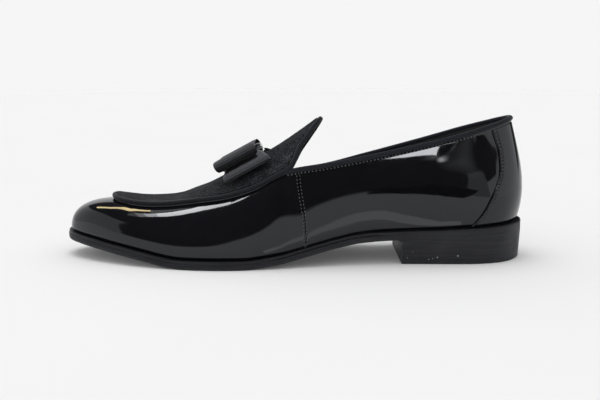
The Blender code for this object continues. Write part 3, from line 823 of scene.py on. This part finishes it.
def ribbon_material(name, colours, gloss):
    """Grosgrain: dull satin threads over the ribs."""
    nodes = Nodes(name, 0.5, Sheen_Weight=0.3, Sheen_Roughness=0.35, Specular_IOR_Level=gloss)
    thread = nodes.noise(2600.0, 3.0, 0.6)
    nodes.set(Base_Color=nodes.colours(nodes.spread(thread), *colours),
              Roughness=nodes.spread(nodes.noise(160.0), 0.42, 0.6))
    nodes.bump(thread, 0.05, 0.7)
    return nodes.material


def sole_material(name):
    """Dyed leather edge: burnished, with fine lines along it."""
    nodes = Nodes(name, 0.5, Specular_IOR_Level=0.3)
    fibre = nodes.noise(420.0, 5.0, 0.65, STREAK_STRETCH)
    nodes.set(Base_Color=nodes.colours(nodes.spread(fibre), *DYED_EDGE),
              Roughness=nodes.spread(nodes.noise(90.0, 4.0), 0.42, 0.62))
    nodes.bump(fibre, 0.10, 0.8)
    nodes.bump(nodes.noise(900.0, 4.0, 0.6), 0.03, 0.6)
    return nodes


def heel_inset(share):
    """How far the heel's side stands in from the sole's outline at a share of its height."""
    return HEEL_FOOT_INSET + (HEEL_TOP_INSET - HEEL_FOOT_INSET) * share


def heel_material():
    """Dyed heel stack with a few pale scuffs low on its lateral side."""
    nodes = sole_material("heel_stack")
    colour = nodes.linked("Base Color")
    for scuff in SCUFFS:
        outline = heel_outline(float(along(HEEL_BREAST)), heel_inset(scuff.height / HEEL_HEIGHT))
        lateral = outline[:len(outline) // 2]
        y = float(np.interp(scuff.x, lateral[:, 0], lateral[:, 1]))
        inner, outer = (scuff.radius * share for share in SCUFF_EDGE)
        colour = nodes.colours(nodes.spot((scuff.x, y, scuff.height), inner, outer), colour, SCUFF_COLOUR)
    nodes.set(Base_Color=colour)
    return nodes.material


def lining_material():
    """Smooth dark kid leather with a fine grain."""
    nodes = Nodes("lining_leather", 0.55, Specular_IOR_Level=0.35)
    nodes.set(Base_Color=nodes.colours(nodes.spread(nodes.noise(60.0)), *LINING))
    nodes.bump(nodes.noise(1300.0, 4.0), 0.06, 0.7)
    return nodes.material


def thread_material(name, colours):
    """Waxed thread with a twist."""
    nodes = Nodes(name, 0.32, Specular_IOR_Level=0.6)
    twist = nodes.noise(3000.0, 2.0)
    nodes.set(Base_Color=nodes.colours(nodes.spread(twist), *colours))
    nodes.bump(twist, 0.03)
    return nodes.material


def wall_places():
    """Ribs round the shoe, finer beside the seams."""
    even = np.arange(0.0, AROUND, 1.0 / RIBS_PER_STATION)
    close = np.linspace(-SEAM_REACH, SEAM_REACH, SEAM_RIBS)
    seams = (SEAM_STATION, AROUND - SEAM_STATION)
    clear = np.min([np.abs(even - seam) for seam in seams], axis=0) > SEAM_REACH + SEAM_MARGIN
    return np.sort(np.concatenate([even[clear]] + [seam + close for seam in seams]))


def wall_shares():
    """Heights of the rings on the wall, closer together just above the sole."""
    low = np.linspace(0.0, TUCK_SHARE, TUCK_RINGS, endpoint=False)
    return np.concatenate((low, np.linspace(TUCK_SHARE, 1.0, WALL_RINGS)))


def with_rim(rings, places, pull):
    """Rings of a wall with one more that runs up inside the binding, pulled to its middle line."""
    middle = closed_curve(edge_rows(STATIONS), places)
    rim = rings[-1] + (middle - rings[-1]) * pull
    rim[:, 2] = middle[:, 2] - RIM_DEPTH
    return np.concatenate((rings, rim[None]))


def make_upper(patent, lining):
    """Vamp and quarters with the side seam, and the lining inside them."""
    places = wall_places()
    shares = wall_shares()
    outer = np.array([worked_wall(places, share) for share in shares])
    inner = wall_skin(places, shares, LEATHER)
    inner[0, :, 2] = outer[0, :, 2]
    leather = closed_sheet(with_rim(outer, places, 0.0), with_rim(inner, places, RIM_PULL), wrap_columns=True)
    add_piece("upper", leather, patent, "upper")
    places = np.arange(0.0, AROUND, LINING_STEP)
    skins = []
    for depth in (LEATHER + LINING_GAP, WALL):
        skin = wall_skin(places, np.linspace(0.0, 1.0, LINING_RINGS), depth)
        skin[0, :, 2] = wall_points(places, 0.0)[:, 2]
        skins.append(with_rim(skin, places, RIM_PULL))
    add_piece("upper_lining", closed_sheet(*skins, wrap_columns=True), lining)


def counter_front(share):
    return smooth_table([row.share for row in COUNTER_EDGE], [row.station for row in COUNTER_EDGE], share)


def counter_height(inside):
    """Outer face of the counter above the wall, at a distance inside its edge."""
    turn = 1.0 - np.clip(inside / COUNTER_ROUND, 0.0, 1.0)
    height = COUNTER_RISE * np.sqrt(np.maximum(1.0 - turn ** 2, 0.0))
    height = height + COUNTER_BEAD * near(inside - BEAD_PLACE, BEAD_RUN)
    for row in COUNTER_ROWS:
        height = height - THREAD_SINK * near(inside - row, BEAD_RUN)
    return GAP + height


def counter_run(share):
    """Millimetres along the wall for one station at the counter's edge."""
    front = counter_front(share)
    step = 0.05
    ends = wall_points(np.array((front - step, front + step)), share)
    return np.linalg.norm(ends[1] - ends[0]) / (2 * step)


def make_counter(patent):
    """Overlay round the back with a rolled front edge."""
    rolled, worked, back = COUNTER_COLUMNS
    edge = np.concatenate((np.linspace(0.0, 1.0, rolled) ** 2 * COUNTER_ROUND,
                           np.linspace(*COUNTER_WORKED, worked)))
    outer, inner = [], []
    for share in np.linspace(COUNTER_BOTTOM, COUNTER_TOP, COUNTER_MESH_ROWS):
        front = counter_front(share)
        offsets = edge / counter_run(share)
        middle = np.linspace(front + offsets[-1], AROUND - front - offsets[-1], back)[1:-1]
        places = np.concatenate((front + offsets, middle, AROUND - front - offsets[::-1]))
        inside = np.concatenate((edge, np.full(len(middle), COUNTER_PLAIN), edge[::-1]))
        normals = wall_normals(places, share)
        base = wall_points(places, share)
        soft = soft_relief(places, share)
        outer.append(base + normals * (counter_height(inside) + soft)[:, None])
        inner.append(base + normals * (GAP * COUNTER_SEAT + soft)[:, None])
    sheet = closed_sheet(np.array(outer), np.array(inner))
    add_piece("heel_counter", sheet, patent, "heel_counter")


def apron_grid():
    """Rows across the apron from its front to the tip of the tongue, inside the binding."""
    rows = edge_rows(APRON_ROWS)
    places = np.arange(2 * APRON_TO_TIP * APRON_ROWS_PER_STATION) / APRON_ROWS_PER_STATION
    edge = closed_curve(rows, places)
    fine_edge = np.vstack(apron_sides())
    inset = np.full(len(places), BINDING_RADIUS + GAP)
    for attempt in range(INSET_ROUNDS):
        inner = edge - outward(rows, places) * inset[:, None]
        inner[:, 2] = apron_height(inner[:, 0], inner[:, 1])
        reach = np.linalg.norm(inner[:, None] - fine_edge[None], axis=2).min(axis=1)
        inset *= (BINDING_RADIUS + GAP * APRON_SEAT) / reach
    tip = len(places) // 2
    across = np.linspace(0.0, 1.0, APRON_COLUMNS)[:, None]
    grid = np.array([inner[i] + (inner[-i] - inner[i]) * across for i in range(tip + 1)])
    grid[:, :, 2] = apron_height(grid[:, :, 0], grid[:, :, 1])
    return grid


def make_apron(suede, lining):
    """Suede plug and tongue over their lining."""
    grid = apron_grid()
    normals = grid_normals(grid)
    normals *= np.sign(normals[:, :, 2:3] + TINY)
    half = normals * (APRON_THICKNESS / 2)
    add_piece("apron_tongue", closed_sheet(grid + half, grid - half * SUEDE_BOTTOM), suede,
              "apron_tongue")
    add_piece("tongue_lining", closed_sheet(grid - half * LINING_TOP, grid - half), lining)


def make_binding(name, line, closed, ribbon):
    """Ribbon folded over an edge: a bead with fine cross ribs."""
    if closed:
        line = np.vstack((line, line[:1]))
    run = run_along(line)
    length = run[-1]
    count = int(round(length / (BINDING_RIB_PITCH / BINDING_STEPS)))
    wanted = np.linspace(0.0, length, count, endpoint=not closed)
    line = at_run(wanted, run, line)
    ahead = np.roll(line, -1, 0) - np.roll(line, 1, 0) if closed else np.gradient(line, axis=0)
    ahead = unit(ahead)
    side = unit(np.cross(ahead, (0.0, 0.0, 1.0)))
    above = np.cross(side, ahead)
    ripple = BINDING_RIB_DEPTH * np.cos(2 * math.pi * round(length / BINDING_RIB_PITCH) * wanted / length)
    radius = BINDING_RADIUS - BINDING_RIB_DEPTH + ripple
    if not closed:
        ends = np.minimum(wanted, length - wanted) / BINDING_RADIUS
        radius = radius * np.sqrt(np.clip(1 - (1 - np.minimum(ends, 1.0)) ** 2, BINDING_TIP, 1.0))
    turn = np.linspace(0.0, 2 * math.pi, BINDING_SIDES, endpoint=False)[None, :, None]
    rims = np.cos(turn) * side[:, None] + np.sin(turn) * above[:, None]
    tube = line[:, None] + radius[:, None, None] * rims
    index = np.arange(count * BINDING_SIDES).reshape(count, BINDING_SIDES)
    add_piece(name, (tube.reshape(-1, 3), tube_faces(index, closed)), ribbon, name)


def make_bindings(ribbon):
    places = np.linspace(0.0, 2 * APRON_TO_TIP, APRON_BINDING_SAMPLES, endpoint=False)
    make_binding("apron_binding", closed_curve(edge_rows(APRON_ROWS), places), True, ribbon)
    places = np.linspace(COLLAR_START, AROUND - COLLAR_START, COLLAR_BINDING_SAMPLES)
    make_binding("collar_binding", closed_curve(edge_rows(STATIONS), places), False, ribbon)


def bow_seat():
    """Place and turn of the bow: on the crown of the apron, along its slope."""
    x = float(along(BOW_PLACE))
    step = 1.0
    tilt = math.atan2(float(crown_height(x + step) - crown_height(x - step)), 2 * step)
    seat = float(crown_height(x)) + APRON_THICKNESS / 2 / math.cos(tilt)
    turn = np.array(Euler((-math.radians(BOW_LEAN), -tilt, 0.0)).to_matrix())
    return np.array((x, float(axis_y(x)), seat)), turn


def ribbed_loop(name, ring, half_widths, axis, ribbon):
    """Ribbon bent to a closed ring, with ribs across it and a plain woven edge."""
    closing = np.vstack((ring, ring[:1]))
    run = run_along(closing)
    ribs = int(round(run[-1] / RIB_PITCH))
    wanted = np.linspace(0.0, run[-1], ribs * RIB_STEPS, endpoint=False)
    line = at_run(wanted, run, closing)
    half = np.interp(wanted, run, np.append(half_widths, half_widths[0]))
    sideways = np.zeros(3)
    sideways[axis] = 1.0
    out = unit(np.cross(np.roll(line, -2, 0) - np.roll(line, 2, 0), sideways))
    if np.sum((line - line.mean(axis=0)) * out) < 0:
        out = -out
    across = np.array(RIBBON_COLUMNS)
    ripple = RIB_DEPTH / 2 * np.cos(2 * math.pi * ribs * wanted / run[-1])
    woven = (np.abs(across) < SELVEDGE).astype(float)
    thick = RIBBON / 2 * np.where(np.abs(across) < 1.0, 1.0, RIBBON_EDGE)
    flat = line[:, None] + sideways * (half[:, None] * across[None])[:, :, None]
    lift = (thick - RIB_DEPTH / 2)[None] + ripple[:, None] * woven[None]
    skins = [flat + out[:, None] * (side * lift)[:, :, None] for side in (1.0, -1.0)]
    points, faces = closed_sheet(*skins, wrap_rows=True)
    place, turn = bow_seat()
    return add_piece(name, (points @ turn.T + place, faces), ribbon, name)


def loop_ring(loop):
    """Middle line of a ribbon loop and its half widths: flat in the middle, round at both ends."""
    straight = loop.half_span - loop.round
    held = LOOP_PINCH * loop.half_span
    turn = np.linspace(0.0, math.pi / 2, ROUND_STEPS + 1)
    steps = np.linspace(0.0, straight, LOOP_STEPS, endpoint=False)
    opening = loop.middle / 2 + (loop.round - loop.middle / 2) * ease((steps - held) / (straight - held))
    half = np.concatenate((opening, loop.round * np.cos(turn)))
    out = np.concatenate((steps, straight + loop.round * np.sin(turn)))
    end = len(out) - 1
    order = np.concatenate((np.arange(end + 1), np.arange(end)[::-1],
                            np.arange(1, end + 1), np.arange(1, end)[::-1]))
    above = np.repeat((1.0, -1.0, 1.0), (end + 1, 2 * end, end - 1))
    side = np.repeat((1.0, -1.0), (2 * end + 1, 2 * end - 1))
    free = np.clip((out / loop.half_span - LOOP_PINCH) / (1.0 - LOOP_PINCH), 0.0, 1.0)
    rise = loop.lift + loop.bend * free ** LOOP_SWELL
    ring = np.column_stack((np.full(len(order), loop.slip), side * out[order],
                            rise[order] + above * half[order]))
    return ring, (loop.half_width * (1.0 - LOOP_GATHER * (1.0 - free)))[order]


def make_bow(ribbon):
    """Two stacked ribbon loops and the band round their middle."""
    pieces = []
    for loop in BOW_LOOPS:
        ring, half_widths = loop_ring(loop)
        pieces.append(ribbed_loop(loop.name, ring, half_widths, X, ribbon))
    turn = np.linspace(0.0, 2 * math.pi, RING_SAMPLES, endpoint=False)
    length = power(np.cos(turn), BAND_FLATNESS) * BAND_HALF_LENGTH + BAND_SLIP
    middle, half = (BAND_TOP + BAND_BOTTOM) / 2, (BAND_TOP - BAND_BOTTOM) / 2
    ring = np.column_stack((length, np.zeros(len(turn)), middle + half * power(np.sin(turn), BAND_FLATNESS)))
    pieces.append(ribbed_loop("bow_band", ring, np.full(len(turn), BAND_HALF_WIDTH), Y, ribbon))
    return pieces


def make_outsole(leather):
    """Leather sole with a stepped edge and a sewing channel underneath."""
    places = np.arange(0.0, AROUND, SOLE_STEP)
    x = sole_line(places, 0.0)[:, 0]
    seat = ease((x - along(HEEL_BREAST)) / SEAT_RUN)
    waist = waist_share(x)
    levels = list(CHANNEL[::-1])
    for step in SOLE_STEPS:
        flush = HEEL_TOP_INSET if step.share < SEAT_TOP else step.inset
        cut = WAIST_CUT * waist if step.share > SEAT_CUT else 0.0
        levels.append((step.inset + (flush - step.inset) * seat + cut, step.share * SOLE_EDGE))
    rings = [lifted(sole_line(places, inset), height) for inset, height in levels]
    add_piece("outsole", closed_loft(rings), leather, "outsole", SOLE_SMOOTH)


def heel_outline(breast, inset):
    """Outline of the heel from the lateral corner of the breast round the back to the medial one."""
    places = np.linspace(HEEL_SEARCH, AROUND - HEEL_SEARCH, HEEL_SAMPLES)
    x = sole_line(places, inset)[:, 0]
    half = len(places) // 2
    start = np.interp(breast, x[:half], places[:half])
    end = np.interp(-breast, -x[half:], places[half:])
    return sole_line(np.linspace(start, end, HEEL_POINTS), inset)


def make_heel(leather):
    """Stacked block with its layers, square across at the breast."""
    breast = float(along(HEEL_BREAST))
    shares = list(HEEL_FOOT_SHARES)
    for layer in HEEL_LAYERS:
        shares += [layer + step * LAYER_HALF for step in (-2, -1, 0, 1, 2)]
    rings = []
    for share in shares:
        groove = LAYER_GROOVE * sum(float(near(share - layer, LAYER_HALF)) for layer in HEEL_LAYERS)
        foot = HEEL_FOOT_CUT * max(1.0 - share / HEEL_FOOT_ROUND, 0.0)
        ring = heel_outline(breast + groove, heel_inset(share) + groove + foot)
        ring[:, 2] = share * (underside(ring[:, 0]) - GAP - HEEL_LIP_DROP)
        rings.append(ring)
    for reach, below in ((0.0, HEEL_LIP_DROP), (HEEL_LIP_REACH, 0.0)):
        ring = heel_outline(breast, HEEL_TOP_INSET)
        ring[[0, -1], 0] -= reach
        rings.append(lifted(ring, HEEL_OVERLAP - below))
    add_piece("heel", closed_loft(rings, False), leather, "heel", SOLE_SMOOTH)


def make_insole(lining):
    """Sock with a soft edge."""
    places = np.arange(0.0, AROUND, LINING_STEP)
    rings = []
    for inset, height in INSOLE_RINGS:
        ring = foot_line(places, WALL + INSOLE_CLEARANCE + inset)
        rings.append(lifted(ring, SOLE_EDGE + height))
    add_piece("insole", closed_loft(rings), lining, "insole")


def thread_row(points, normals, stitch):
    """Stitches a pitch apart along a row on a surface, as bent threads that dive at both ends."""
    run = run_along(points)
    count = max(int(run[-1] / stitch.pitch), 1)
    centres = (np.arange(count) + 0.5) * run[-1] / count
    up = unit(at_run(centres, run, normals))
    back, front = (at_run(centres + side * stitch.pitch / 2, run, points) for side in (-1.0, 1.0))
    ahead = front - back
    ahead = unit(ahead - up * np.sum(ahead * up, axis=1, keepdims=True))
    t = np.linspace(-1.0, 1.0, THREAD_RINGS)[:, None]
    lift = stitch.radius * (THREAD_LIFT - THREAD_DIVE * t * t)
    line = (at_run(centres, run, points)[:, None] + ahead[:, None] * (t * stitch.pitch * stitch.fill / 2)
            + up[:, None] * lift)
    radius = stitch.radius * np.sqrt(np.maximum(1.0 - THREAD_TAPER * t * t, THREAD_TIP))
    turn = np.linspace(0.0, 2 * math.pi, THREAD_SIDES, endpoint=False)[:, None]
    rims = np.cos(turn) * np.cross(up, ahead)[:, None] + np.sin(turn) * up[:, None]
    return line[:, :, None] + radius[:, :, None] * rims[:, None]


def add_threads(name, rows, stitch, thread):
    """Rows of stitches as one piece."""
    threads = np.concatenate([thread_row(points, normals, stitch) for points, normals in rows])
    index = np.arange(threads[..., 0].size).reshape(threads.shape[:3])
    faces = [face for one in index for face in tube_faces(one)]
    add_piece(name, (threads.reshape(-1, 3), faces), thread, smooth=THREAD_SMOOTH)


def wall_rows(side, share):
    """A row on the worked wall, with its normals, and its like on the other side of the shoe."""
    return [(worked_wall(places, share), wall_normals(places, share)) for places in (side, AROUND - side)]


def seam_rows():
    """Rows of stitches beside the side seam, on both sides of the shoe."""
    shares = np.linspace(*THREAD_ROW_ENDS, ROW_SAMPLES)
    seam = np.full(len(shares), SEAM_STATION)
    step = 0.2
    run = (seam_distance(seam + step, shares) - seam_distance(seam - step, shares)) / (2 * step)
    rows = []
    for distance in THREAD_ROWS:
        rows += wall_rows(seam + distance / run, shares)
    return rows


def counter_rows():
    """Rows of stitches behind the counter's edge."""
    shares = np.linspace(*COUNTER_ROW_ENDS, ROW_SAMPLES)
    rows = []
    for distance in COUNTER_ROWS:
        side = np.array([counter_front(share) + distance / counter_run(share) for share in shares])
        for places in (side, AROUND - side):
            normals = wall_normals(places, shares)
            height = counter_height(distance) + soft_relief(places, shares)
            rows.append((wall_points(places, shares) + normals * height[:, None], normals))
    return rows


def collar_rows():
    """One row under the collar's binding, from the throat to the counter on each side."""
    return wall_rows(np.linspace(*COLLAR_ROW_ENDS, COLLAR_ROW_SAMPLES), COLLAR_ROW_SHARE)


def in_space(flat, axis, at):
    """A place in a plane square to an axis, in metres."""
    return (np.insert(np.array(flat, float), axis, at) * MM).tolist()


def flat_material(name, colour, strength, centre=None, reach=None):
    """Plain emitter for the stage, with a round soft edge where a centre and a reach are given."""
    material = bpy.data.materials.new(name)
    material.use_nodes = True
    tree = material.node_tree
    tree.nodes.remove(tree.nodes["Principled BSDF"])
    if centre:
        place = add_node(tree, "TexCoord", "Object")
        place = add_node(tree, "Mapping", "Vector", vector_type="TEXTURE",
                         inputs={"Vector": place, "Location": centre, "Scale": reach})
        ball = add_node(tree, "TexGradient", "Fac", {"Vector": place}, gradient_type="SPHERICAL")
        strength = add_node(tree, "Math", "Value", {0: ball, 1: strength}, operation="MULTIPLY")
    light = add_node(tree, "Emission", "Emission", {"Color": (*colour, 1.0), "Strength": strength})
    if centre:
        clear = add_node(tree, "BsdfTransparent", "BSDF")
        light = add_node(tree, "AddShader", "Shader", {0: light, 1: clear})
    plug(tree, tree.nodes["Material Output"].inputs["Surface"], light)
    return material


def stage_sheet(name, corners, material):
    mesh = bpy.data.meshes.new(name)
    mesh.from_pydata(corners, [], [tuple(range(len(corners)))])
    mesh.materials.append(material)
    sheet = add_object(name, mesh)
    return sheet


def make_camera():
    camera = add_object("camera", bpy.data.cameras.new("camera"))
    camera.location = CAMERA_PLACE
    camera.rotation_euler = (math.radians(90.0 - CAMERA_PITCH), 0.0, 0.0)
    camera.data.sensor_width = CAMERA_SENSOR
    camera.data.lens = CAMERA_LENS
    bpy.context.scene.camera = camera


def make_world():
    """Dim surroundings that carry the floor's light on a little above the end of the floor."""
    world = bpy.data.worlds.new("studio")
    world.use_nodes = True
    tree = world.node_tree
    sockets = tree.nodes["Background"].inputs
    upward = add_node(tree, "SeparateXYZ", "Z", {"Vector": add_node(tree, "TexCoord", "Generated")})
    plug(tree, sockets["Color"], (*PALE, 1.0))
    plug(tree, sockets["Strength"], spread(tree, upward, HORIZON_LEVEL, WORLD_LEVEL, *HORIZON))
    bpy.context.scene.world = world


def make_backdrop():
    """Floor, and a pale dome that only the camera sees."""
    nodes = Nodes("pale_floor", 0.8, Specular_IOR_Level=0.0, Emission_Color=(*PALE, 1.0),
                  Emission_Strength=FLOOR_GLOW)
    nodes.set(Base_Color=nodes.colours(nodes.noise(6.0), *FLOOR))
    corners = [(x * FLOOR_REACH, y * FLOOR_REACH, 0.0) for x, y in ((-1, -1), (1, -1), (1, 1), (-1, 1))]
    stage_sheet("floor", corners, nodes.material)
    bpy.ops.mesh.primitive_uv_sphere_add(segments=48, ring_count=24, radius=FLOOR_REACH * DOME_SHARE)
    dome = bpy.context.object
    dome.name = "backdrop"
    dome.data.materials.append(flat_material("pale_backdrop", PALE, BACKDROP_LEVEL))
    dome.visible_diffuse = False
    dome.visible_glossy = False
    dome.visible_transmission = False
    dome.visible_shadow = False


def add_card(card):
    fade = ()
    if card.fade:
        centre, reach = card.fade
        fade = in_space(centre, card.axis, card.at), in_space(reach, card.axis, FADE_DEPTH)
    corners = [in_space(corner, card.axis, card.at) for corner in card.outline]
    sheet = stage_sheet(card.name, corners, flat_material(card.name, card.colour, card.strength, *fade))
    sheet.visible_camera = False
    sheet.visible_diffuse = False
    sheet.visible_shadow = False


def add_lamp(name, kind, energy):
    """Lamp that reflections don't show."""
    lamp = add_object(name, bpy.data.lights.new(name, kind))
    lamp.data.energy = energy
    lamp.visible_glossy = False
    return lamp


def make_stage():
    bpy.context.scene.view_settings.view_transform = "Standard"
    make_camera()
    make_world()
    make_backdrop()
    for card in CARDS:
        add_card(card)
    for sun in SUNS:
        lamp = add_lamp(sun.name, "SUN", sun.strength)
        lamp.data.angle = math.radians(sun.angle)
        lamp.rotation_euler = [math.radians(value) for value in sun.turn]


def light_bow(pieces):
    """Lamp over the bow that lights nothing else, so that the dull ribbon shows its folds."""
    lamp = add_lamp("bow_light", "AREA", BOW_LIGHT_POWER)
    lamp.data.size = BOW_LIGHT_SIZE
    lamp.location = BOW_LIGHT_PLACE
    ahead = Vector(BOW_LIGHT_AIM) - Vector(BOW_LIGHT_PLACE)
    lamp.rotation_euler = ahead.to_track_quat("-Z", "Y").to_euler()
    lamp.visible_camera = False
    lit = bpy.data.collections.new("lit_bow")
    for piece in pieces:
        lit.objects.link(piece)
    lamp.light_linking.receiver_collection = lit


def make_shoe():
    patent = patent_material()
    lining = lining_material()
    ribbon = ribbon_material("bow_grosgrain", BOW_RIBBON, 0.08)
    binding = ribbon_material("binding_grosgrain", BINDING_RIBBON, 0.06)
    make_upper(patent, lining)
    make_counter(patent)
    make_apron(suede_material(), lining)
    make_bindings(binding)
    light_bow(make_bow(ribbon))
    make_outsole(sole_material("sole_edge").material)
    make_heel(heel_material())
    make_insole(lining)
    add_threads("seam_stitches", seam_rows(), EDGE_STITCH, thread_material("waxed_thread", SEAM_THREAD_GREY_AND_HIGHLIGHT))
    add_threads("counter_stitches", counter_rows(), EDGE_STITCH,
                thread_material("dark_thread", COUNTER_THREAD))
    # the collar's stitches carry painted highlight in their thread colour
    add_threads("collar_stitches", collar_rows(), COLLAR_STITCH,
                thread_material("thread_painted_highlight", COLLAR_THREAD_PAINTED_HIGHLIGHT))


make_stage()
make_shoe()
